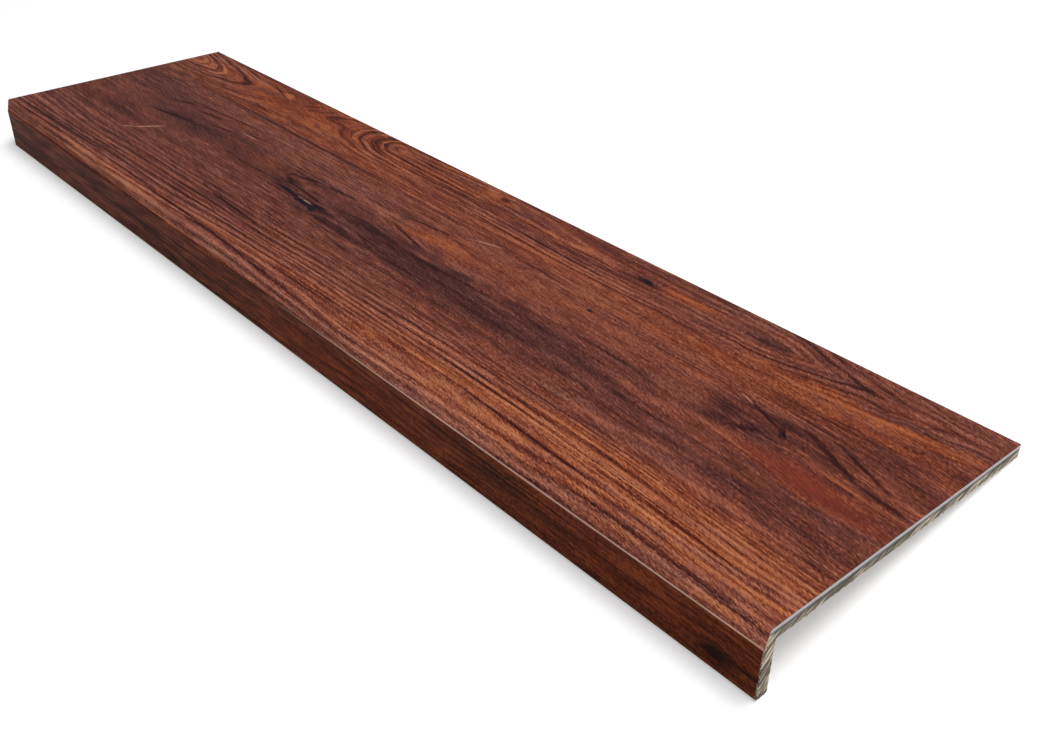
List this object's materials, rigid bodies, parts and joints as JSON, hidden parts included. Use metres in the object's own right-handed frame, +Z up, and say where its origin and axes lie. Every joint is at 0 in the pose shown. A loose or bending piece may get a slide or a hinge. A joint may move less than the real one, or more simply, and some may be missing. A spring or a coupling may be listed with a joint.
{
  "type": "stair tread",
  "caption": "Overlay stair tread: a long flat laminated panel whose front edge turns down into a square nose, to cap an existing step.",
  "frame": {"origin": "middle of the floor area that the tread covers as it lies, at floor level", "axes": "+X along the tread's length, +Y from the nose towards the back edge, +Z up. The tread is stored as it lies unheld: it leans back 9.4 degrees about X, on the back corner of the nose's foot and the lower corner of the back edge"},
  "size_m": [1.22, 0.3058, 0.0602],
  "materials": {
    "core_board": "sawn wood-composite board, beige grey",
    "grey_vinyl": "cut edge of grey vinyl plank",
    "wood_decor": "satin embossed red-brown wood grain"
  },
  "bodies": {
    "root": {"core": "core_board", "vinyl_plank": "grey_vinyl", "decor_skin": "wood_decor"}
  },
  "joints": []
}
